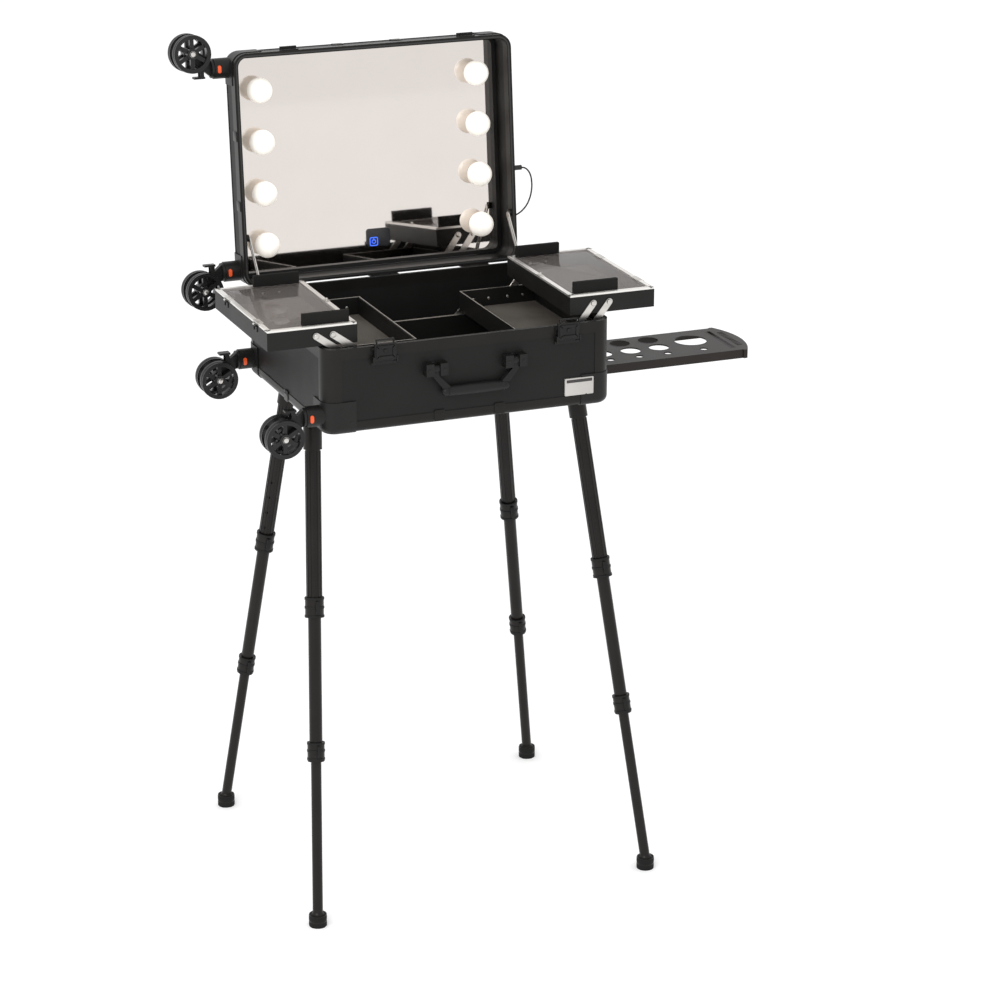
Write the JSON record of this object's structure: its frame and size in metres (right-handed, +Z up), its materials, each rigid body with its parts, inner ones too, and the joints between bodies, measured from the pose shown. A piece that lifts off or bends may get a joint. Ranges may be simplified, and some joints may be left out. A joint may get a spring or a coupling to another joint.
{
  "type": "rolling makeup station case",
  "caption": "Trolley case opened into a makeup station on splayed telescopic legs, with a lit mirror in its lid, cantilever trays and a pull-out tool shelf.",
  "frame": {"origin": "on the floor, under the middle of the outline of the opened station", "axes": "+X to the side of the pulled-out tool shelf, +Y from the front latches to the lid, +Z up"},
  "size_m": [1.074, 0.6794, 1.6199],
  "materials": {
    "panel": "fine-grained black sheet",
    "frame": "black anodised",
    "guard": "satin black",
    "black_metal": "satin black",
    "partition": "black, with a bright top edge",
    "leg_tube": "satin black-brown",
    "mirror": "silvered",
    "bulb": "frosted, warm white",
    "socket": "black",
    "cord": "black",
    "handle": "black, soft",
    "shelf": "dark brown-black",
    "bright_metal": "brushed",
    "tray_lid": "silver frame with a clear glossy pane and black pads",
    "tray": "black, with a grey-brown floor",
    "wheel": "black, glossy spokes",
    "fork": "black",
    "orange": "orange"
  },
  "bodies": {
    "base": {"base_shell": "panel", "base_frame": "frame", "base_corners": "guard", "base_fittings": "black_metal", "partition": "partition", "leg_uppers": "leg_tube"},
    "lid": {"lid_shell": "panel", "lid_frame": "frame", "lid_corners": "guard", "lid_fittings": "black_metal", "mirror": "mirror", "bulbs": "bulb", "lid_electrics": "socket", "cord_lead": "cord", "cord_plug": "cord"},
    "lower_arm_a_left": {"lower_arm_a_left": "bright_metal"},
    "lower_tray_left": {"lower_tray_left": "tray"},
    "lower_arm_b_left": {"lower_arm_b_left": "bright_metal"},
    "upper_arm_a_left": {"upper_arm_a_left": "bright_metal"},
    "upper_tray_left": {"upper_tray_left": "tray"},
    "upper_arm_b_left": {"upper_arm_b_left": "bright_metal"},
    "tray_lid_left": {"tray_lid_left": "tray_lid"},
    "lid_stay_left": {"lid_stay_left": "bright_metal"},
    "lower_arm_a_right": {"lower_arm_a_right": "bright_metal"},
    "lower_tray_right": {"lower_tray_right": "tray"},
    "lower_arm_b_right": {"lower_arm_b_right": "bright_metal"},
    "upper_arm_a_right": {"upper_arm_a_right": "bright_metal"},
    "upper_tray_right": {"upper_tray_right": "tray"},
    "upper_arm_b_right": {"upper_arm_b_right": "bright_metal"},
    "tray_lid_right": {"tray_lid_right": "tray_lid"},
    "lid_stay_right": {"lid_stay_right": "bright_metal"},
    "tool_shelf": {"tool_shelf": "shelf"},
    "front_handle": {"front_handle": "handle"},
    "side_handle": {"side_handle": "handle"},
    "latch_left": {"latch_left": "black_metal"},
    "latch_right": {"latch_right": "black_metal"},
    "leg_middle_front_left": {"leg_middle_front_left": "leg_tube"},
    "leg_lower_front_left": {"leg_lower_front_left": "leg_tube"},
    "leg_middle_front_right": {"leg_middle_front_right": "leg_tube"},
    "leg_lower_front_right": {"leg_lower_front_right": "leg_tube"},
    "leg_middle_rear_left": {"leg_middle_rear_left": "leg_tube"},
    "leg_lower_rear_left": {"leg_lower_rear_left": "leg_tube"},
    "leg_middle_rear_right": {"leg_middle_rear_right": "leg_tube"},
    "leg_lower_rear_right": {"leg_lower_rear_right": "leg_tube"},
    "caster_fork_base_front": {"caster_fork_base_front": "fork"},
    "caster_wheels_base_front": {"caster_wheels_base_front": "wheel"},
    "caster_pedal_base_front": {"caster_pedal_base_front": "orange"},
    "caster_button_base_front": {"caster_button_base_front": "orange"},
    "caster_fork_base_rear": {"caster_fork_base_rear": "fork"},
    "caster_wheels_base_rear": {"caster_wheels_base_rear": "wheel"},
    "caster_pedal_base_rear": {"caster_pedal_base_rear": "orange"},
    "caster_button_base_rear": {"caster_button_base_rear": "orange"},
    "caster_fork_lid_lower": {"caster_fork_lid_lower": "fork"},
    "caster_wheels_lid_lower": {"caster_wheels_lid_lower": "wheel"},
    "caster_pedal_lid_lower": {"caster_pedal_lid_lower": "orange"},
    "caster_button_lid_lower": {"caster_button_lid_lower": "orange"},
    "caster_fork_lid_upper": {"caster_fork_lid_upper": "fork"},
    "caster_wheels_lid_upper": {"caster_wheels_lid_upper": "wheel"},
    "caster_pedal_lid_upper": {"caster_pedal_lid_upper": "orange"},
    "caster_button_lid_upper": {"caster_button_lid_upper": "orange"}
  },
  "joints": [
    {"name": "lid_hinge", "type": "hinge", "parent": "base", "child": "lid", "pos_m": [-0.135, 0.21952, 1.121], "axis": [-1, 0, 0], "range_deg": [-95.5, 0]},
    {"name": "lower_arm_a_left_pivot", "type": "hinge", "parent": "base", "child": "lower_arm_a_left", "pos_m": [-0.223, -0.01388, 1.043], "axis": [0, -1, 0], "range_deg": [-85.5, 0]},
    {"name": "lower_tray_left_pivot", "type": "hinge", "parent": "lower_arm_a_left", "child": "lower_tray_left", "pos_m": [-0.26115, -0.01388, 1.10288], "axis": [0, 1, 0], "range_deg": [-85.5, 0]},
    {"name": "lower_arm_b_left_pivot", "type": "hinge", "parent": "base", "child": "lower_arm_b_left", "pos_m": [-0.256, -0.01388, 1.043], "axis": [0, -1, 0], "range_deg": [-85.5, 0]},
    {"name": "upper_arm_a_left_pivot", "type": "hinge", "parent": "lower_tray_left", "child": "upper_arm_a_left", "pos_m": [-0.33465, -0.01388, 1.10288], "axis": [0, -1, 0], "range_deg": [-99, 0]},
    {"name": "upper_tray_left_pivot", "type": "hinge", "parent": "upper_arm_a_left", "child": "upper_tray_left", "pos_m": [-0.39896, -0.01388, 1.14876], "axis": [0, 1, 0], "range_deg": [-99, 0]},
    {"name": "upper_arm_b_left_pivot", "type": "hinge", "parent": "lower_tray_left", "child": "upper_arm_b_left", "pos_m": [-0.36765, -0.01388, 1.10288], "axis": [0, -1, 0], "range_deg": [-99, 0]},
    {"name": "tray_lid_left_hinge", "type": "hinge", "parent": "upper_tray_left", "child": "tray_lid_left", "pos_m": [-0.52916, -0.01388, 1.16376], "axis": [0, -1, 0], "range_deg": [0, 110]},
    {"name": "lower_arm_a_right_pivot", "type": "hinge", "parent": "base", "child": "lower_arm_a_right", "pos_m": [-0.047, -0.01388, 1.043], "axis": [0, 1, 0], "range_deg": [-99.5, 0]},
    {"name": "lower_tray_right_pivot", "type": "hinge", "parent": "lower_arm_a_right", "child": "lower_tray_right", "pos_m": [0.0045, -0.01388, 1.09187], "axis": [0, -1, 0], "range_deg": [-99.5, 0]},
    {"name": "lower_arm_b_right_pivot", "type": "hinge", "parent": "base", "child": "lower_arm_b_right", "pos_m": [-0.014, -0.01388, 1.043], "axis": [0, 1, 0], "range_deg": [-99.5, 0]},
    {"name": "upper_arm_a_right_pivot", "type": "hinge", "parent": "lower_tray_right", "child": "upper_arm_a_right", "pos_m": [0.078, -0.01388, 1.09187], "axis": [0, 1, 0], "range_deg": [-82.5, 0]},
    {"name": "upper_tray_right_pivot", "type": "hinge", "parent": "upper_arm_a_right", "child": "upper_tray_right", "pos_m": [0.12664, -0.01388, 1.15413], "axis": [0, -1, 0], "range_deg": [-82.5, 0]},
    {"name": "upper_arm_b_right_pivot", "type": "hinge", "parent": "lower_tray_right", "child": "upper_arm_b_right", "pos_m": [0.111, -0.01388, 1.09187], "axis": [0, 1, 0], "range_deg": [-82.5, 0]},
    {"name": "tray_lid_right_hinge", "type": "hinge", "parent": "upper_tray_right", "child": "tray_lid_right", "pos_m": [0.25684, -0.01388, 1.16913], "axis": [0, 1, 0], "range_deg": [0, 110]},
    {"name": "lid_stay_left_pivot", "type": "hinge", "parent": "base", "child": "lid_stay_left", "pos_m": [-0.41, 0.15412, 1.112], "axis": [-1, 0, 0], "range_deg": [-97.58, 0]},
    {"name": "lid_stay_right_pivot", "type": "hinge", "parent": "base", "child": "lid_stay_right", "pos_m": [0.14, 0.15412, 1.112], "axis": [-1, 0, 0], "range_deg": [-97.58, 0]},
    {"name": "tool_shelf_slide", "type": "slide", "parent": "base", "child": "tool_shelf", "axis": [1, 0, 0], "range_m": [-0.3505, 0]},
    {"name": "front_handle_pivot", "type": "hinge", "parent": "base", "child": "front_handle", "pos_m": [-0.128, -0.25268, 1.07], "axis": [-1, 0, 0], "range_deg": [0, 90]},
    {"name": "side_handle_pivot", "type": "hinge", "parent": "base", "child": "side_handle", "pos_m": [0.1648, -0.01388, 1.07], "axis": [0, -1, 0], "range_deg": [0, 90]},
    {"name": "latch_left_pivot", "type": "hinge", "parent": "base", "child": "latch_left", "pos_m": [-0.308, -0.24938, 1.1], "axis": [1, 0, 0], "range_deg": [0, 100]},
    {"name": "latch_right_pivot", "type": "hinge", "parent": "base", "child": "latch_right", "pos_m": [0.062, -0.24938, 1.1], "axis": [1, 0, 0], "range_deg": [0, 100]},
    {"name": "leg_middle_front_left_slide", "type": "slide", "parent": "base", "child": "leg_middle_front_left", "axis": [-0.0791, -0.2159, -0.9732], "range_m": [-0.235, 0]},
    {"name": "leg_lower_front_left_slide", "type": "slide", "parent": "leg_middle_front_left", "child": "leg_lower_front_left", "axis": [-0.0791, -0.2159, -0.9732], "range_m": [-0.25, 0]},
    {"name": "leg_middle_front_right_slide", "type": "slide", "parent": "base", "child": "leg_middle_front_right", "axis": [0.0791, -0.2159, -0.9732], "range_m": [-0.235, 0]},
    {"name": "leg_lower_front_right_slide", "type": "slide", "parent": "leg_middle_front_right", "child": "leg_lower_front_right", "axis": [0.0791, -0.2159, -0.9732], "range_m": [-0.25, 0]},
    {"name": "leg_middle_rear_left_slide", "type": "slide", "parent": "base", "child": "leg_middle_rear_left", "axis": [-0.1251, 0.121, -0.9847], "range_m": [-0.235, 0]},
    {"name": "leg_lower_rear_left_slide", "type": "slide", "parent": "leg_middle_rear_left", "child": "leg_lower_rear_left", "axis": [-0.1251, 0.121, -0.9847], "range_m": [-0.25, 0]},
    {"name": "leg_middle_rear_right_slide", "type": "slide", "parent": "base", "child": "leg_middle_rear_right", "axis": [0.1251, 0.121, -0.9847], "range_m": [-0.235, 0]},
    {"name": "leg_lower_rear_right_slide", "type": "slide", "parent": "leg_middle_rear_right", "child": "leg_lower_rear_right", "axis": [0.1251, 0.121, -0.9847], "range_m": [-0.25, 0]},
    {"name": "caster_swivel_base_front", "type": "hinge", "parent": "base", "child": "caster_fork_base_front", "pos_m": [-0.455, -0.21388, 0.993], "axis": [-1, 0, 0], "continuous": true},
    {"name": "caster_swivel_base_rear", "type": "hinge", "parent": "base", "child": "caster_fork_base_rear", "pos_m": [-0.455, 0.18612, 0.993], "axis": [-1, 0, 0], "continuous": true},
    {"name": "caster_swivel_lid_lower", "type": "hinge", "parent": "lid", "child": "caster_fork_lid_lower", "pos_m": [-0.455, 0.2685, 1.14984], "axis": [-1, 0, 0], "continuous": true},
    {"name": "caster_swivel_lid_upper", "type": "hinge", "parent": "lid", "child": "caster_fork_lid_upper", "pos_m": [-0.455, 0.30684, 1.548], "axis": [-1, 0, 0], "continuous": true},
    {"name": "caster_axle_base_front", "type": "hinge", "parent": "caster_fork_base_front", "child": "caster_wheels_base_front", "pos_m": [-0.5, -0.21388, 0.96], "axis": [0, 1, 0], "continuous": true},
    {"name": "caster_axle_base_rear", "type": "hinge", "parent": "caster_fork_base_rear", "child": "caster_wheels_base_rear", "pos_m": [-0.5, 0.18612, 0.96], "axis": [0, 1, 0], "continuous": true},
    {"name": "caster_axle_lid_lower", "type": "hinge", "parent": "caster_fork_lid_lower", "child": "caster_wheels_lid_lower", "pos_m": [-0.5, 0.26534, 1.11699], "axis": [0, 0.9954, -0.0958], "continuous": true},
    {"name": "caster_axle_lid_upper", "type": "hinge", "parent": "caster_fork_lid_upper", "child": "caster_wheels_lid_upper", "pos_m": [-0.5, 0.31001, 1.58085], "axis": [0, -0.9954, 0.0958], "continuous": true},
    {"name": "caster_brake_base_front", "type": "hinge", "parent": "caster_fork_base_front", "child": "caster_pedal_base_front", "pos_m": [-0.479, -0.21388, 0.985], "axis": [0, -1, 0], "range_deg": [0, 12]},
    {"name": "caster_brake_base_rear", "type": "hinge", "parent": "caster_fork_base_rear", "child": "caster_pedal_base_rear", "pos_m": [-0.479, 0.18612, 0.985], "axis": [0, -1, 0], "range_deg": [0, 12]},
    {"name": "caster_brake_lid_lower", "type": "hinge", "parent": "caster_fork_lid_lower", "child": "caster_pedal_lid_lower", "pos_m": [-0.479, 0.26774, 1.14188], "axis": [0, -0.9954, 0.0958], "range_deg": [0, 12]},
    {"name": "caster_brake_lid_upper", "type": "hinge", "parent": "caster_fork_lid_upper", "child": "caster_pedal_lid_upper", "pos_m": [-0.479, 0.30761, 1.55596], "axis": [0, 0.9954, -0.0958], "range_deg": [0, 12]},
    {"name": "caster_release_base_front", "type": "slide", "parent": "base", "child": "caster_button_base_front", "axis": [0, 1, 0], "range_m": [0, 0.0025], "stiffness_N_per_m": 300},
    {"name": "caster_release_base_rear", "type": "slide", "parent": "base", "child": "caster_button_base_rear", "axis": [0, 1, 0], "range_m": [0, 0.0025], "stiffness_N_per_m": 300},
    {"name": "caster_release_lid_lower", "type": "slide", "parent": "lid", "child": "caster_button_lid_lower", "axis": [0, 0.9954, -0.0958], "range_m": [0, 0.0025], "stiffness_N_per_m": 300},
    {"name": "caster_release_lid_upper", "type": "slide", "parent": "lid", "child": "caster_button_lid_upper", "axis": [0, 0.9954, -0.0958], "range_m": [0, 0.0025], "stiffness_N_per_m": 300}
  ],
  "couplings": [
    {"joint": "lower_arm_a_left_pivot", "follows": "lid_hinge", "ratio": 0.89529},
    {"joint": "lower_tray_left_pivot", "follows": "lid_hinge", "ratio": 0.89529},
    {"joint": "lower_arm_b_left_pivot", "follows": "lid_hinge", "ratio": 0.89529},
    {"joint": "upper_arm_a_left_pivot", "follows": "lid_hinge", "ratio": 1.0366},
    {"joint": "upper_tray_left_pivot", "follows": "lid_hinge", "ratio": 1.0366},
    {"joint": "upper_arm_b_left_pivot", "follows": "lid_hinge", "ratio": 1.0366},
    {"joint": "lower_arm_a_right_pivot", "follows": "lid_hinge", "ratio": 1.0419},
    {"joint": "lower_tray_right_pivot", "follows": "lid_hinge", "ratio": 1.0419},
    {"joint": "lower_arm_b_right_pivot", "follows": "lid_hinge", "ratio": 1.0419},
    {"joint": "upper_arm_a_right_pivot", "follows": "lid_hinge", "ratio": 0.86387},
    {"joint": "upper_tray_right_pivot", "follows": "lid_hinge", "ratio": 0.86387},
    {"joint": "upper_arm_b_right_pivot", "follows": "lid_hinge", "ratio": 0.86387},
    {"joint": "lid_stay_left_pivot", "follows": "lid_hinge", "ratio": 1.0218},
    {"joint": "lid_stay_right_pivot", "follows": "lid_hinge", "ratio": 1.0218}
  ]
}
